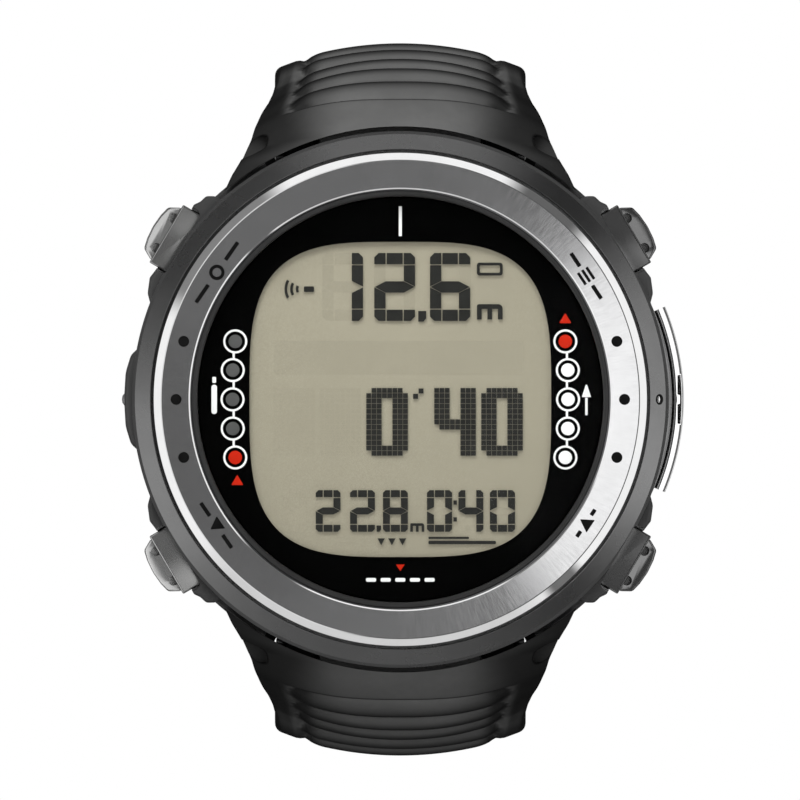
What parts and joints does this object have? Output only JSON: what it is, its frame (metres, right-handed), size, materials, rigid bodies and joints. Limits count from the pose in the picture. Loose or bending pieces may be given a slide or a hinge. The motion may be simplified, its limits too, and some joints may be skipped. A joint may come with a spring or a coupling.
{
  "type": "wrist dive computer",
  "caption": "Round wrist dive computer with a segment display under a flat crystal, brushed bezel, guarded push buttons, side pressure sensor, battery hatch and buckled rubber strap.",
  "frame": {"origin": "centre of the wrist side face of the case back, on the plane that rests on the wrist", "axes": "+Z out through the crystal, +Y towards 12 o'clock, +X towards 3 o'clock"},
  "size_m": [0.0499, 0.0632, 0.0979],
  "materials": {
    "case_composite": "matt dark grey fibre composite",
    "satin_steel": "satin",
    "brushed_steel": "brushed in a circle",
    "polished_steel": "polished",
    "gunmetal": "dark plated, brushed",
    "spring_steel": "bright drawn wire",
    "cell_steel": "satin nickel plate",
    "gold_contact": "gold plated",
    "seal_rubber": "smooth",
    "gasket_grey": "smooth",
    "black_fill": "engraving filled with matt paint",
    "crystal_glass": "clear",
    "dial_black": "matt print",
    "print_white": "print",
    "print_red": "print",
    "print_grey": "print",
    "lcd_green": "reflective display, tan green",
    "lcd_dark": "dark display segments",
    "backlight_plastic": "milky",
    "frame_plastic": "moulded",
    "zebra_rubber": "layered",
    "board_green": "solder resist",
    "chip_black": "moulded",
    "ferrite": "sintered",
    "copper_wire": "enamelled wire",
    "strap_rubber": "matt, fine grain"
  },
  "bodies": {
    "case": {"case_middle": "case_composite", "case_back": "satin_steel", "case_back_gasket": "seal_rubber", "case_back_screws": "satin_steel", "battery_cover": "satin_steel", "battery_cover_oring": "seal_rubber", "battery_cell": "cell_steel", "battery_contacts": "gold_contact", "bezel_ring": "brushed_steel", "bezel_marks": "black_fill", "crystal": "crystal_glass", "crystal_gasket": "gasket_grey", "dial_mask": "dial_black", "dial_marks_white": "print_white", "dial_marks_red": "print_red", "dial_indicators_grey": "print_grey", "lcd_glass": "lcd_green", "lcd_segments": "lcd_dark", "backlight_panel": "backlight_plastic", "module_frame": "frame_plastic", "zebra_strips": "zebra_rubber", "main_board": "board_green", "board_components": "chip_black", "antenna_core": "ferrite", "antenna_coil": "copper_wire", "module_screws": "satin_steel", "button_contacts": "gold_contact", "buzzer_disc": "gold_contact", "depth_sensor": "satin_steel", "depth_sensor_oring": "seal_rubber", "sensor_cover": "polished_steel", "contact_pin": "polished_steel", "button_guides": "gunmetal", "button_orings": "seal_rubber", "spring_select": "spring_steel", "spring_mode": "spring_steel", "spring_down": "spring_steel", "spring_up": "spring_steel", "lug_screws": "satin_steel"},
    "press_select": {"button_select": "polished_steel", "clip_select": "spring_steel"},
    "press_mode": {"button_mode": "polished_steel", "clip_mode": "spring_steel"},
    "press_down": {"button_down": "polished_steel", "clip_down": "spring_steel"},
    "press_up": {"button_up": "polished_steel", "clip_up": "spring_steel"},
    "locking_ring": {"battery_locking_ring": "brushed_steel"},
    "buckle_half": {"strap_buckle_side": "strap_rubber", "lug_tube_buckle_side": "satin_steel", "keeper_fixed": "strap_rubber"},
    "tail_half": {"strap_tail_side": "strap_rubber", "lug_tube_tail_side": "satin_steel"},
    "buckle": {"buckle_frame": "brushed_steel", "buckle_bar": "satin_steel"},
    "tongue": {"buckle_tongue": "brushed_steel"},
    "slider": {"keeper_sliding": "strap_rubber"}
  },
  "joints": [
    {"name": "button_select_press", "type": "slide", "parent": "case", "child": "press_select", "axis": [0.8616, -0.5075, 0], "range_m": [0, 0.0008], "deforming": ["spring_select"]},
    {"name": "button_mode_press", "type": "slide", "parent": "case", "child": "press_mode", "axis": [-0.8616, -0.5075, 0], "range_m": [0, 0.0008], "deforming": ["spring_mode"]},
    {"name": "button_down_press", "type": "slide", "parent": "case", "child": "press_down", "axis": [0.8616, 0.5075, 0], "range_m": [0, 0.0008], "deforming": ["spring_down"]},
    {"name": "button_up_press", "type": "slide", "parent": "case", "child": "press_up", "axis": [-0.8616, 0.5075, 0], "range_m": [0, 0.0008], "deforming": ["spring_up"]},
    {"name": "battery_ring_turn", "type": "hinge", "parent": "case", "child": "locking_ring", "pos_m": [0, 0, 0], "axis": [0, 0, 1], "range_deg": [0, 45]},
    {"name": "buckle_half_swing", "type": "hinge", "parent": "case", "child": "buckle_half", "pos_m": [0, 0.02235, 0.0065], "axis": [-1, 0, 0], "range_deg": [0, 10]},
    {"name": "tail_half_swing", "type": "hinge", "parent": "case", "child": "tail_half", "pos_m": [0, -0.02235, 0.0065], "axis": [-1, 0, 0], "range_deg": [-6, 0]},
    {"name": "buckle_frame_swing", "type": "hinge", "parent": "buckle_half", "child": "buckle", "pos_m": [0, 0.00658, -0.04343], "axis": [1, 0, 0], "range_deg": [-40, 30]},
    {"name": "tongue_swing", "type": "hinge", "parent": "buckle", "child": "tongue", "pos_m": [0, 0.00658, -0.04343], "axis": [1, 0, 0], "range_deg": [0, 60]},
    {"name": "keeper_slide", "type": "hinge", "parent": "buckle_half", "child": "slider", "pos_m": [0, -0.0151, -0.004], "axis": [1, 0, 0], "range_deg": [-1, 16]}
  ]
}
